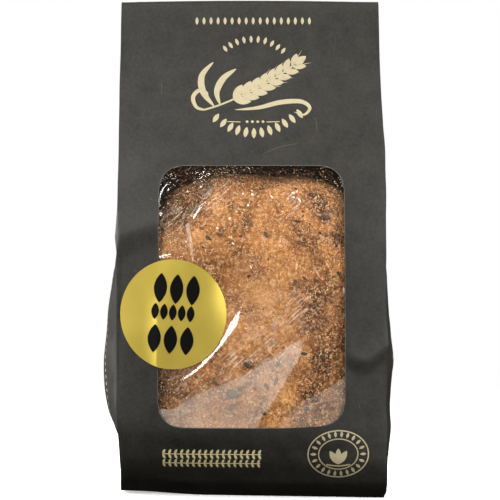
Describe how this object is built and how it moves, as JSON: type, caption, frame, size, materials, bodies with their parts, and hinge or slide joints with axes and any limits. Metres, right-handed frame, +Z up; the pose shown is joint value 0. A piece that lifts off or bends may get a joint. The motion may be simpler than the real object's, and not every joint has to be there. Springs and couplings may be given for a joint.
{
  "type": "bread loaf in a windowed paper bag",
  "caption": "A dark baked loaf standing on end in a shut matt black gusseted paper bag with a round-cornered clear window and a round gold foil label.",
  "frame": {"origin": "on the table, under the middle of the bag's base", "axes": "+Z up to the folded top, -Y out of the window, +X to the right of someone facing the window"},
  "size_m": [0.2044, 0.1189, 0.3472],
  "materials": {
    "matt_black_paper": "matt black coated kraft paper",
    "clear_film": "clear glossy film",
    "bread_crust": "baked crust, dusted with semolina",
    "gold_foil": "gold metallised label paper"
  },
  "bodies": {
    "root": {"bag": "matt_black_paper", "window_film": "clear_film", "loaf": "bread_crust", "label": "gold_foil"}
  },
  "joints": []
}
